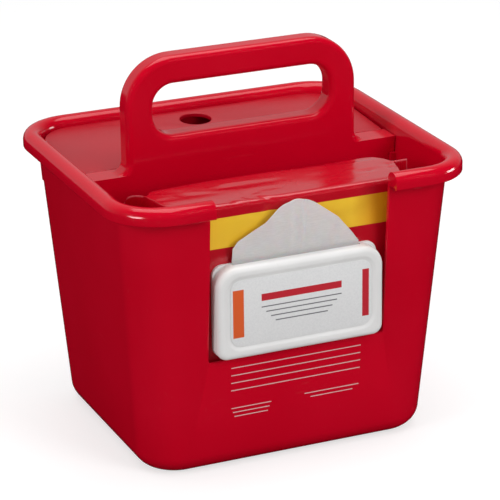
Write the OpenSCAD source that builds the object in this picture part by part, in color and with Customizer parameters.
// Countertop wipes dispenser: a tapered tub with a rolled rim, a divider that
// carries a loop handle, a lift-off rear cover and a soft pack of wipes whose
// flip lid stands in a notch in the front wall.
// Millimetres. +Z is up, the front faces -Y, the origin is under the tub's middle.

/* [Tub] */
// Width across the rim
rim_w = 230; // [210:1:260]
// Depth across the rim
rim_d = 200; // [190:1:226]
// Height of the rim above the table
tub_h = 178.5; // [170:0.5:210]
// Wall thickness of every moulding of the caddy
wall = 2.5; // [2:0.1:3]
// Floor thickness
floor_t = 3; // [2.5:0.1:4]
// How far the rim reaches out past the wall
rim_reach = 8.6; // [7:0.1:11]
// Height of the rim's skirt
rim_h = 10; // [8:0.5:14]
// Radius over the top of the rim
crown_r = 5.6; // [4:0.1:6]
// Radius where the wall rolls out into the rim, on the inside
rim_inner_r = 5.4; // [3.5:0.1:5.4]
// How far each wall leans out from bottom to top
draft = 13.5; // [9:0.5:15]
// Plan radius of the rim's corners
rim_corner_r = 35; // [28:1:42]
// Plan radius of the floor's corners
base_corner_r = 25.5; // [18:0.5:30]
// Radius between the walls and the floor
base_edge_r = 12; // [8:0.5:14]

/* [Notch] */
// Gap that the front notch leaves on each side of the lid
notch_side = 3.5; // [2.5:0.1:6]
// Gap that the notch leaves under the lid
notch_under = 2.6; // [2:0.1:8]
// Radius of the notch's lower corners
notch_r = 2; // [1.5:0.5:8]

/* [Handle and divider] */
// Width across the handle's posts
handle_w = 151; // [140:1:160]
// Height of the handle's top above the rim
handle_rise = 61.1; // [56:0.1:80]
// Thickness of the handle and the divider, front to back
handle_t = 15.4; // [13:0.2:17]
// Width of the handle's bar and posts, seen from the front
grip_w = 17.4; // [15:0.2:20]
// Outer radius of the handle's upper corners
handle_r = 31; // [26:0.5:34]
// Rounding of the handle's edges
grip_r = 4; // [2.5:0.1:5]
// Height of the finger slot
slot_h = 32; // [28:0.5:36]
// How far the divider's shoulders lie below the rim
shoulder_drop = 9.5; // [9:0.5:14]
// Radius where a post runs into its shoulder
shoulder_r = 7; // [4:0.5:9]
// Rounding of the shoulder's edges
shoulder_edge_r = 2.5; // [1.5:0.1:3]
// Thickness of the ribs inside the divider
rib_t = 1.8; // [1.4:0.1:2.4]
// Clearance between the divider and the tub
divider_clear = 0.3; // [0.2:0.05:0.5]

/* [Guides in the tub] */
// Thickness of a guide rib
guide_t = 2; // [1.5:0.1:3]
// How far a guide rib stands in from the wall
guide_depth = 4; // [3:0.5:6]
// Gap that the divider's ends leave to the wall
end_gap = 0.6; // [0.4:0.1:1.5]
// How far a cover rest stands in from the wall
rest_depth = 3; // [2:0.5:4]
// Height of a cover rest
rest_h = 24; // [15:1:40]

/* [Rear cover] */
// Thickness of the cover's plate
cover_t = 2.4; // [2:0.1:3]
// Height of the stiffening rim under the cover
cover_skirt_h = 7; // [5:0.5:10]
// Inset of the stiffening rim from the cover's edge
cover_skirt_in = 4; // [4:0.5:6]
// Rise of the cover from its front edge to its rear edge
cover_rise = 4; // [0:0.5:6]
// Clearance round the cover
cover_clear = 0.8; // [0.5:0.1:1.5]
// Gap between the cover and the divider
cover_front_gap = 1.2; // [0.6:0.1:2]
// Diameter of the finger hole
finger_d = 20; // [16:0.5:26]
// Distance of the finger hole's middle from the cover's rear edge
finger_in = 17.3; // [16:0.1:40]

/* [Wipes pack] */
// Room that each end seal leaves to the tub's wall
seal_room = 4.2; // [2:0.2:12]
// Depth of the pack, front to back
pack_d = 46; // [38:1:52]
// Height of the pack's top above the table
pack_top = 169; // [160:0.5:170]
// Gap between the pack and the tub's front wall under the notch
pack_gap = 1.4; // [1.2:0.1:2]
// Reach of each crimped end seal beyond the pack
seal_reach = 17; // [14:0.5:18]
// Height of an end seal's lower corner above the floor of the pack
seal_lift = 34; // [20:1:40]
// How far the end seals sit behind the pack's middle
seal_back = 6; // [0:1:10]
// How far the left end seal is bent further back at its tip
seal_curl = 18; // [0:1:20]
// Thickness of an end seal
seal_t = 1.6; // [1.2:0.1:2.4]
// Film thickness, thickened so that it is a printable solid
film_t = 0.8; // [0.6:0.1:1.2]
// Gap between the stack of wipes and the film
stack_gap = 0.3; // [0.2:0.05:0.6]
// Slack between the stack and the film behind the lid
stack_slack = 3.5; // [2:0.5:6]

/* [Flip lid] */
// Width of the lid
lid_w = 107.6; // [100:0.2:108]
// Height of the lid
lid_h = 57.6; // [52:0.2:60]
// Depth of the lid, front to back
lid_d = 9.6; // [8.6:0.1:11]
// Height of the lid's lower edge above the table
lid_z = 75.4; // [75:0.1:78]
// Wall thickness of the lid
lid_wall = 1.6; // [1.2:0.1:2]
// Radius of the lid's upper corners
lid_top_r = 13; // [9:0.5:16]
// Radius of the lid's lower corners
lid_low_r = 6.5; // [4:0.5:9]
// Rounding of the lid's front edge
lid_edge_r = 3.6; // [2.4:0.1:4]
// Width of the border round the label
lid_border = 6.4; // [5:0.1:8]
// Depth of the recess for the label
recess_d = 0.9; // [0.6:0.1:1.2]
// Thickness of the label
label_t = 0.3; // [0.2:0.05:0.5]
// Gap round the label
label_gap = 0.4; // [0.2:0.1:0.8]

/* [Frame] */
// Thickness of the frame's plate
frame_t = 2; // [1.6:0.1:2.1]
// Gap between the frame and the closed lid
lid_gap = 0.3; // [0.2:0.05:0.4]
// Width of the dispensing opening
mouth_w = 66; // [50:1:70]
// Height of the dispensing opening
mouth_h = 24; // [16:1:30]
// Height of the sealing bead round the dispensing opening
bead_h = 1.6; // [1:0.1:2.4]
// Width of the sealing bead
bead_w = 1.6; // [1.2:0.1:2.2]

/* [Leading wipe] */
// Width of the wipe where it leaves the lid
wipe_w = 82; // [70:1:86]
// Height of the wipe's tip above the lid
wipe_rise = 35; // [24:1:38]
// Sheet thickness, thickened so that it is a solid
wipe_t = 0.7; // [0.6:0.05:0.8]
// Depth of the folds at the wipe's tip
fold_d = 1.5; // [0.8:0.1:1.6]
// How far the tip leans forward
wipe_lean = 2.6; // [1:0.1:3]
// Clearance round the wipe where it passes the lid
wipe_gap = 0.3; // [0.25:0.05:0.4]
// Depth of the wipe's way out through the lid's upper edge
wipe_way = 3; // [2:0.1:3.4]

/* [Hidden] */
$fn = 64;

corner_steps = 10;   // facets in each corner of a lofted form
edge_steps = 5;      // rings in each rounded edge of a lofted form
over = 1;            // overshoot of a cut past a face
rib_foot = 1;        // how far a rib of the tub stands in at its lower end
rib_lead = 2;        // straight top of a rib before it tapers
corner_cut = 0.8;    // share of a film corner's radius that the stack's corners lose
tiny = 0.01;         // keeps a straight between two full rounds
pinch_round = 0.9;   // an edge's radius as a share of half the film's depth, at most
rest_share = 0.75;   // place of the rear cover rests, as a share of the cover's depth
cut_walls = 3;       // how many lid walls deep the wipe's way out is cut

red = [0.74, 0.02, 0.08];
film_red = [0.66, 0.02, 0.07];
white = [0.94, 0.94, 0.93];
label_grey = [0.84, 0.85, 0.85];
wipe_white = [0.9, 0.9, 0.91];

// ---- the tub's walls at height z ----
function lean(z) = draft * (1 - z / tub_h);
function wall_x(z) = rim_w / 2 - rim_reach - lean(z);
function wall_y(z) = rim_d / 2 - rim_reach - lean(z);
function wall_r(z) = base_corner_r
    + (rim_corner_r - rim_reach - base_corner_r) * z / tub_h;

// ---- the notch, cut to suit the lid ----
notch_w = lid_w + 2 * notch_side;
notch_z = lid_z - notch_under;

// ---- the divider's and the handle's levels ----
shoulder_z = tub_h - shoulder_drop;
handle_top = tub_h + handle_rise;
handle_x = handle_w / 2;
slot_top = handle_top - grip_w;
slot_low = slot_top - slot_h;
divider_low = floor_t + divider_clear;

// ---- the rear cover: it rises from the divider to the rear wall ----
cover_front = handle_t / 2 + cover_front_gap;
cover_back = wall_y(shoulder_z) - wall - cover_clear;
cover_tilt = atan(cover_rise / (cover_back - cover_front));
function cover_under(y) = shoulder_z - cover_t + (y - cover_front) * tan(cover_tilt);
finger_y = cover_back - finger_in;
rest_gap = 0.1;       // between the cover and its rests
guide_drop = 10;      // the guides end this far below the shoulders
function rest_top(y) = cover_under(y) - rest_gap;

// ---- the pack and its lid, front to back ----
pack_front = wall_y(notch_z) - wall - pack_gap;
pack_back = pack_front - pack_d;
pack_low = floor_t + divider_clear;
pack_w = 2 * (wall_x(pack_low + seal_lift) - wall - seal_room - seal_reach);
pack_edge_r = 3.6;    // rounding of the pack's upper edges
pack_foot_r = base_edge_r - wall + 1;   // and of its lower ones, clear of the tub's
seal_drop = 3;        // the end seals' upper edge lies this far below the pack's
frame_front = pack_front + frame_t;
lid_back = frame_front + lid_gap;
lid_front = lid_back + lid_d;
frame_margin = 0.5;
hinge_t = 0.5;
hinge_gap = 0.4;
hinge_reach = 1.4;
frame_z = lid_z - hinge_gap;
frame_w = lid_w - 2 * frame_margin;
frame_h = lid_h + hinge_gap - frame_margin;
mouth_z = lid_z + lid_h / 2;
wipe_y = frame_front + wipe_gap;
recess_r = max(lid_top_r - lid_border + 2, 3);
panel_r = 2;          // fillet behind the lid's panel
wipe_tuck = 4;       // how far the wipe starts below the mouth's middle
wipe_neck = 0.66;     // share of its width that the wipe is gathered to in the mouth
wipe_split = 0.3;     // share of the wipe's rows that lie inside the lid
wipe_folds = 5;       // folds across the wipe's width
wipe_cols = 28;
wipe_rows = 12;

// ================= shapes used by more than one piece =================

// Points of a rounded rectangle with half sizes a and b, at height z
function ring(a, b, r, z) = [
    for (q = [0:3], k = [0:corner_steps])
        let (
            turn = 90 * (q + k / corner_steps),
            sx = (q == 0 || q == 3) ? 1 : -1,
            sy = (q < 2) ? 1 : -1
        )
        [sx * (a - r) + r * cos(turn), sy * (b - r) + r * sin(turn), z]
];

// A closed skin through rings that all have as many points
module loft(rings) {
    n = len(rings[0]);
    m = len(rings);
    polyhedron(
        points = [for (s = rings) each s],
        faces = concat(
            [[for (i = [0:n - 1]) i]],
            [for (j = [0:m - 2], i = [0:n - 1]) let (k = (i + 1) % n)
                [j * n + i, (j + 1) * n + i, (j + 1) * n + k]],
            [for (j = [0:m - 2], i = [0:n - 1]) let (k = (i + 1) % n)
                [j * n + i, (j + 1) * n + k, j * n + k]],
            [[for (i = [n - 1:-1:0]) (m - 1) * n + i]]
        ),
        convexity = 4
    );
}

// The tub's wall surface, moved in by inset, at height z
function wall_ring(inset, z) = ring(
    wall_x(z) - inset, wall_y(z) - inset, wall_r(z) - min(inset, base_edge_r), z);

// Rings that round the wall into the floor at height z0
function base_rings(inset, z0, r) = [
    for (k = [0:edge_steps]) let (turn = 90 * k / edge_steps)
        wall_ring(inset + r * (1 - sin(turn)), z0 + r * (1 - cos(turn)))
];

// Rings that roll the wall outwards by r, ending at height z1
function roll_rings(inset, z1, r) = [
    for (k = [0:edge_steps]) let (turn = 90 * k / edge_steps)
        wall_ring(inset - r * (1 - cos(turn)), z1 - r + r * sin(turn))
];

// Rings over the rim's crown, moved in by inset
function rim_rings(inset, z0) = concat(
    [ring(rim_w / 2 - inset, rim_d / 2 - inset, rim_corner_r - inset, z0)],
    [for (k = [0:edge_steps])
        let (
            turn = 90 * k / edge_steps,
            r = crown_r - inset,
            in = inset + r * (1 - cos(turn))
        )
        ring(rim_w / 2 - in, rim_d / 2 - in, rim_corner_r - in,
             tub_h - crown_r + r * sin(turn))]
);

// Rectangle w by h about the origin with round corners
module round_rect(w, h, r) {
    square([w - 2 * r, h], center = true);
    square([w, h - 2 * r], center = true);
    for (sx = [-1, 1], sy = [-1, 1])
        translate([sx * (w / 2 - r), sy * (h / 2 - r)]) circle(r);
}

// Outline of the lid, standing in the XZ plane at depth y, moved in by inset
function lid_ring(w, h, z0, top_r, low_r, inset, y) = [
    for (q = [0:3], k = [0:corner_steps])
        let (
            turn = 90 * (q + k / corner_steps),
            sx = (q == 0 || q == 3) ? 1 : -1,
            sz = (q < 2) ? 1 : -1,
            r = max((q < 2 ? top_r : low_r) - inset, 0.5)
        )
        [sx * (w / 2 - inset - r) + r * cos(turn),
         -y,
         z0 + h / 2 + sz * (h / 2 - inset - r) + r * sin(turn)]
];

// ================================ tub ================================

// Inside of the tub, rolled out at the rim
module tub_inside() {
    loft(concat(
        base_rings(wall, floor_t, base_edge_r - wall),
        roll_rings(wall, tub_h, rim_inner_r),
        [wall_ring(wall - rim_inner_r, tub_h + over)]
    ));
}

// Outside of the wall, rolled out under the rim's crown
module tub_outside() {
    roll_r = rim_inner_r - wall;
    loft(concat(
        base_rings(0, 0, base_edge_r),
        roll_rings(0, tub_h - wall, roll_r),
        [wall_ring(-roll_r, tub_h - wall / 2)]
    ));
}

// Opening in the front wall: straight sides, round lower corners
module notch_cut() {
    cut_h = tub_h + 2 * notch_r - notch_z;
    translate([0, -rim_d / 4, notch_z + cut_h / 2]) rotate([90, 0, 0])
        linear_extrude(rim_d / 2) round_rect(notch_w, cut_h, notch_r);
}

// Upright rib on a side wall, standing in by depth from z0 to z1
module side_rib(depth, z0, z1, t) {
    rotate([90, 0, 0]) linear_extrude(t, center = true) polygon([
        [wall_x(z0) - wall / 2, z0], [wall_x(z1) - wall / 2, z1],
        [wall_x(z1) - wall - depth, z1], [wall_x(z1) - wall - depth, z1 - rib_lead],
        [wall_x(z0) - wall - rib_foot, z0]
    ]);
}

// Upright rib on the rear wall, under the cover
module rear_rest() {
    z1 = rest_top(wall_y(shoulder_z) - wall - rest_depth);
    z0 = z1 - rest_h;
    rotate([90, 0, 90]) linear_extrude(guide_t, center = true) polygon([
        [wall_y(z0) - wall / 2, z0], [wall_y(z1) - wall / 2, z1],
        [wall_y(z1) - wall - rest_depth, z1],
        [wall_y(z1) - wall - rest_depth, z1 - rib_lead],
        [wall_y(z0) - wall - rib_foot, z0]
    ]);
}

module tub() {
    guide_y = handle_t / 2 + divider_clear + guide_t / 2;
    guide_low = floor_t + base_edge_r;
    guide_top = shoulder_z - guide_drop;
    rests_y = [cover_front + 2 * rest_depth, (cover_front + cover_back) * rest_share];
    color(red) difference() {
        union() {
            difference() {
                union() {
                    tub_outside();
                    difference() {
                        loft(rim_rings(0, tub_h - rim_h));
                        loft(rim_rings(wall, tub_h - rim_h - over));
                    }
                }
                tub_inside();
            }
            for (s = [0, 1], y = [-guide_y, guide_y])
                mirror([s, 0, 0]) translate([0, y, 0])
                    side_rib(guide_depth, guide_low, guide_top, guide_t);
            for (s = [0, 1], y = rests_y)
                mirror([s, 0, 0]) translate([0, y, 0])
                    side_rib(rest_depth, rest_top(y - guide_t) - rest_h,
                             rest_top(y - guide_t), guide_t);
            for (x = [-rim_w / 4, rim_w / 4]) translate([x, 0, 0]) rear_rest();
        }
        notch_cut();
    }
}

// ====================== divider with the handle ======================

// Section of the grip: width along X, thickness along Y
module grip_section() {
    round_rect(grip_w, handle_t, grip_r);
}

// Corner of the loop that turns about an axis along Y; the loop's inside is
// towards the axis
module loop_corner() {
    rotate([90, 0, 0]) rotate_extrude(angle = 90)
        translate([handle_r - grip_w / 2, 0]) grip_section();
}

module handle_loop() {
    bend_x = handle_x - handle_r;
    top_z = handle_top - handle_r;
    low_z = slot_low - grip_w + handle_r;
    for (s = [0, 1]) mirror([s, 0, 0]) {
        translate([bend_x, 0, top_z]) loop_corner();
        translate([bend_x, 0, low_z]) mirror([0, 0, 1]) loop_corner();
        translate([handle_x - grip_w / 2, 0, shoulder_z - grip_r])
            linear_extrude(top_z - shoulder_z + grip_r) grip_section();
    }
    for (z = [handle_top - grip_w / 2, slot_low - grip_w / 2])
        translate([-bend_x, 0, z]) rotate([0, 90, 0])
            linear_extrude(2 * bend_x) grip_section();
}

// Concave corner where each post runs out into its shoulder: the inner half of
// the grip's section, turned about the corner's centre
module shoulder_fillets() {
    for (s = [0, 1]) mirror([s, 0, 0])
        translate([handle_x + shoulder_r, 0, shoulder_z + shoulder_r])
            rotate([90, 0, 0]) rotate([0, 0, 180]) rotate_extrude(angle = 90)
                intersection() {
                    translate([shoulder_r + grip_w / 2, 0])
                        round_rect(grip_w, handle_t, grip_r);
                    translate([shoulder_r, -handle_t]) square([grip_w / 2, 2 * handle_t]);
                }
}

// Half width of the divider at height z
function divider_x(z) = wall_x(z) - wall - end_gap;

// Front outline of the divider wall, moved in by inset
module divider_outline(inset) {
    edge_z = floor_t + base_edge_r;
    foot_cut = base_edge_r - wall + end_gap;
    low = divider_low - (inset > 0 ? over : 0);
    polygon([
        [-divider_x(edge_z) + foot_cut + inset, low],
        [divider_x(edge_z) - foot_cut - inset, low],
        [divider_x(edge_z) - inset, edge_z],
        [divider_x(shoulder_z) - inset, shoulder_z - inset],
        [-divider_x(shoulder_z) + inset, shoulder_z - inset],
        [-divider_x(edge_z) + inset, edge_z]
    ]);
}

// Top of the divider: its long edges are rounded
module shoulder_bar() {
    h = 4 * shoulder_edge_r;
    intersection() {
        rotate([90, 0, 0]) linear_extrude(handle_t, center = true) divider_outline(0);
        translate([0, 0, shoulder_z - h / 2]) rotate([0, 90, 0])
            linear_extrude(rim_w, center = true) difference() {
                round_rect(2 * h, handle_t, shoulder_edge_r);
                translate([h / 2, -handle_t]) square([2 * h, 2 * handle_t]);
            }
    }
}

module divider_handle() {
    skin_t = handle_t - 2 * wall;
    color(red) {
        difference() {
            union() {
                handle_loop();
                shoulder_fillets();
                translate([-handle_x + grip_w / 2, -handle_t / 2, shoulder_z - grip_w])
                    cube([handle_w - grip_w, handle_t,
                          slot_low - grip_r - shoulder_z + grip_w]);
                rotate([90, 0, 0]) linear_extrude(handle_t, center = true) intersection() {
                    divider_outline(0);
                    translate([-rim_w / 2, 0])
                        square([rim_w, shoulder_z - 2 * shoulder_edge_r]);
                }
                shoulder_bar();
            }
            rotate([90, 0, 0]) linear_extrude(skin_t, center = true) divider_outline(wall);
        }
        for (x = [-handle_x + grip_w / 2, 0, handle_x - grip_w / 2])
            translate([x - rib_t / 2, -skin_t / 2, divider_low])
                cube([rib_t, skin_t, shoulder_z - wall - divider_low]);
    }
}

// ============================ rear cover ============================

// Plan of the cover from its front edge at y = 0, moved in by inset
module cover_outline(inset) {
    z = shoulder_z - cover_t - cover_skirt_h;
    gap = wall + cover_clear + inset;
    intersection() {
        translate([0, -cover_front])
            round_rect(2 * (wall_x(z) - gap), 2 * (cover_back - inset), wall_r(z) - gap);
        translate([-rim_w / 2, inset]) square([rim_w, rim_d]);
    }
}

module rear_cover() {
    color(red) translate([0, cover_front, shoulder_z - cover_t])
        rotate([cover_tilt, 0, 0]) difference() {
            union() {
                linear_extrude(cover_t) cover_outline(0);
                translate([0, 0, -cover_skirt_h]) linear_extrude(cover_skirt_h)
                    difference() {
                        cover_outline(cover_skirt_in);
                        cover_outline(cover_skirt_in + rib_t);
                    }
            }
            translate([0, finger_y - cover_front, -over])
                cylinder(h = cover_t + 2 * over, d = finger_d);
        }
}

// ============================ wipes pack ============================

// Front of the pack at height z: upright behind the lid, along the wall below it
function front_y(z) = pack_front - max(0, lean(z) - lean(notch_z));

// Section of the pack across its width: flat is 1 in the middle and near 0
// where the film is pinched flat, lift raises the lower corners there, and bend
// moves it back
function pack_ring(x, flat, lift, bend, inset) =
    let (
        mid = (pack_front + pack_back) / 2 - seal_back * (1 - flat) - bend,
        half = max(pack_d / 2 * flat, seal_t / 2) - inset,
        low = pack_low + lift + inset,
        high = pack_top - seal_drop * (1 - flat) - inset,
        top_r = min(pack_edge_r, pinch_round * half),
        foot_r = min(pack_foot_r, pinch_round * half)
    )
    [for (q = [0:3], k = [0:q == 1 ? edge_steps + 1 : edge_steps])
        let (
            turn = 90 * (q + k / edge_steps),
            r = q < 2 ? top_r : foot_r,
            sy = (q == 0 || q == 3) ? 1 : -1,
            z = (q < 2 ? high - r : low + r) + r * sin(turn),
            tuck = sy < 0 ? (pack_front - front_y(z)) * flat : 0
        )
        // one more point in front, where the film starts to follow the tub's wall
        k > edge_steps ? [x, -mid - half, notch_z]
            : [x, -mid + sy * (half - r) + r * cos(turn) + tuck, z]];

// How full the pack is at each step from an end towards the middle:
// [distance in from the seal's tip as a share of its reach, fullness, lift of the
// lower corners and bend at the left end, as shares of the most]
pinch = [
    [0, 0, 1, 1],
    [0.35, 0, 0.4, 0.5],
    [0.53, 0, 0.26, 0.28],
    [0.7, 0.45, 0.18, 0.12],
    [1, 0.86, 0.06, 0],
    [1.3, 0.96, 0.02, 0],
    [1.8, 1, 0, 0]
];

function pack_rings(inset, skip) =
    let (
        tip = pack_w / 2 + seal_reach,
        side = [for (i = [skip:len(pinch) - 1]) pinch[i]]
    )
    concat(
        [for (p = side) pack_ring(-tip + seal_reach * p[0], p[1], seal_lift * p[2],
                                  seal_curl * p[3], inset)],
        [for (i = [len(side) - 1:-1:0]) let (p = side[i])
            pack_ring(tip - seal_reach * p[0], p[1], seal_lift * p[2], 0, inset)]
    );

// Oblong opening in the XZ plane, cut from y0 to y1
module oblong(w, h, y0, y1) {
    translate([0, -y0, mouth_z]) rotate([90, 0, 0])
        linear_extrude(y1 - y0) round_rect(w, h, h / 2 - tiny);
}

module pouch_film() {
    color(film_red) difference() {
        loft(pack_rings(0, 0));
        loft(pack_rings(film_t, 3));
        oblong(mouth_w + 2 * bead_w, mouth_h + 2 * bead_w,
               pack_front - 2 * film_t, pack_front + over);
    }
}

module wipe_stack() {
    gap = film_t + stack_gap;
    half_w = pack_w / 2 + seal_reach * (1 - pinch[len(pinch) - 1][0]);
    low = pack_low + gap;
    high = pack_top - gap;
    back = pack_back + gap;
    front = pack_front - film_t - stack_slack;
    top_c = pack_edge_r * corner_cut;
    foot_c = pack_foot_r * corner_cut;
    foot_y = front - pack_front + front_y(low);
    color(white) translate([-half_w, 0, 0]) rotate([90, 0, 90])
        linear_extrude(2 * half_w) polygon([
            [-back, low + foot_c], [-back, high - top_c], [-back - top_c, high],
            [-front + top_c, high], [-front, high - top_c], [-front, notch_z],
            [-foot_y, low + foot_c], [-foot_y + foot_c, low], [-back - foot_c, low]
        ]);
}

// ======================= frame, hinge and lid =======================

module lid_frame() {
    color(white) difference() {
        union() {
            translate([0, -pack_front, frame_z + frame_h / 2]) rotate([90, 0, 0])
                linear_extrude(frame_t) round_rect(frame_w, frame_h, lid_low_r);
            translate([0, -pack_front, mouth_z]) rotate([90, 0, 0])
                linear_extrude(frame_t + bead_h)
                    round_rect(mouth_w + 2 * bead_w, mouth_h + 2 * bead_w,
                               mouth_h / 2 + bead_w - tiny);
        }
        oblong(mouth_w, mouth_h, pack_front - over, frame_front + bead_h + over);
        // the bead stops where the wipe leaves the mouth
        translate([-wipe_w / 2 - wipe_gap, -frame_front - bead_h - over,
                   mouth_z - wipe_tuck - wipe_gap])
            cube([wipe_w + 2 * wipe_gap, bead_h + over, lid_h]);
    }
}

// The strip lies under both and ends short of the line that the lid turns about
module living_hinge() {
    strip_w = lid_w - 4 * lid_low_r;
    front = lid_back + hinge_reach;
    color(white) translate([-strip_w / 2, -front, frame_z - hinge_t])
        cube([strip_w, front - pack_front - hinge_t, hinge_t]);
}

module flip_lid() {
    top_z = lid_z + lid_h;
    panel = lid_front - recess_d - lid_wall;
    color(white) difference() {
        loft(concat(
            [lid_ring(lid_w, lid_h, lid_z, lid_top_r, lid_low_r, 0, lid_back)],
            [for (k = [0:edge_steps])
                let (turn = 90 * k / edge_steps)
                lid_ring(lid_w, lid_h, lid_z, lid_top_r, lid_low_r,
                         lid_edge_r * (1 - cos(turn)),
                         lid_front - lid_edge_r + lid_edge_r * sin(turn))]
        ));
        // hollow behind the panel
        loft([
            lid_ring(lid_w, lid_h, lid_z, lid_top_r, lid_low_r, lid_wall, lid_back - over),
            lid_ring(lid_w, lid_h, lid_z, lid_top_r, lid_low_r, lid_wall, panel - panel_r),
            lid_ring(lid_w, lid_h, lid_z, lid_top_r, lid_low_r, lid_wall + panel_r, panel)
        ]);
        // recess for the label
        loft([for (y = [lid_front - recess_d, lid_front + over])
            lid_ring(lid_w - 2 * lid_border, lid_h - 2 * lid_border, lid_z + lid_border,
                     recess_r, recess_r, 0, y)]);
        // way out for the wipe, behind the lid's rounded front edge
        translate([-wipe_w / 2 - 2 * wipe_gap, -lid_back - wipe_way, top_z - cut_walls * lid_wall])
            cube([wipe_w + 4 * wipe_gap, wipe_way + over, cut_walls * lid_wall + over]);
    }
}

module lid_label() {
    border = lid_border + label_gap;
    color(label_grey) translate([0, -lid_front + recess_d, lid_z + lid_h / 2])
        rotate([90, 0, 0]) linear_extrude(label_t)
            round_rect(lid_w - 2 * border, lid_h - 2 * border, recess_r - label_gap);
}

// =========================== leading wipe ===========================

// The wipe's upper edge as it was torn off: heights above the lid, as shares of
// the tip's, from the left corner at -1 to the right one at 1
torn_edge = [[-1, 0.28], [-0.92, 0.4], [-0.78, 0.48], [-0.5, 0.66], [-0.3, 0.88],
             [0, 1], [0.3, 0.88], [0.64, 0.58], [0.86, 0.28], [1, 0.06]];

// Height of the wipe's upper edge at u, from -1 on the left to 1 on the right
function wipe_edge(u) = lid_z + lid_h + wipe_rise * lookup(u, torn_edge);

// Middle of the sheet at u and v, v from 0 in the frame's mouth to 1 at the edge
function wipe_point(u, v) =
    let (
        low = mouth_z - wipe_tuck,
        top = lid_z + lid_h + 1,
        z = v <= wipe_split ? low + (top - low) * v / wipe_split
            : top + (wipe_edge(u) - top) * (v - wipe_split) / (1 - wipe_split),
        free = max(0, (z - top) / wipe_rise),
        fold = fold_d * min(1, 2 * free) * (1 - cos(180 * wipe_folds * u)) / 2,
        gather = wipe_neck + (1 - wipe_neck) * sin(90 * min(1, (z - low) / (top - low)))
    )
    [u * wipe_w / 2 * gather,
     -wipe_y - wipe_t / 2 - wipe_lean * free * (2 - free) - fold, z];

module leading_wipe() {
    n = wipe_cols + 1;
    m = wipe_rows + 1;
    count = n * m;
    sheet = [for (j = [0:wipe_rows], i = [0:wipe_cols])
        wipe_point(2 * i / wipe_cols - 1, j / wipe_rows)];
    back = [for (p = sheet) p + [0, wipe_t / 2, 0]];
    front = [for (p = sheet) p - [0, wipe_t / 2, 0]];
    cells = [for (j = [0:wipe_rows - 1], i = [0:wipe_cols - 1]) j * n + i];
    rim_line = concat(
        [for (i = [0:wipe_cols]) i],
        [for (j = [1:wipe_rows]) j * n + wipe_cols],
        [for (i = [wipe_cols - 1:-1:0]) wipe_rows * n + i],
        [for (j = [wipe_rows - 1:-1:1]) j * n]
    );
    k = len(rim_line);
    color(wipe_white) polyhedron(
        points = concat(back, front),
        faces = concat(
            [for (c = cells) [c, c + 1, c + n + 1]],
            [for (c = cells) [c, c + n + 1, c + n]],
            [for (c = cells) [count + c, count + c + n + 1, count + c + 1]],
            [for (c = cells) [count + c, count + c + n, count + c + n + 1]],
            [for (i = [0:k - 1]) let (a = rim_line[i], b = rim_line[(i + 1) % k])
                [a, count + a, count + b]],
            [for (i = [0:k - 1]) let (a = rim_line[i], b = rim_line[(i + 1) % k])
                [a, count + b, b]]
        )
    );
}

tub();
divider_handle();
rear_cover();
pouch_film();
wipe_stack();
lid_frame();
living_hinge();
flip_lid();
lid_label();
leading_wipe();
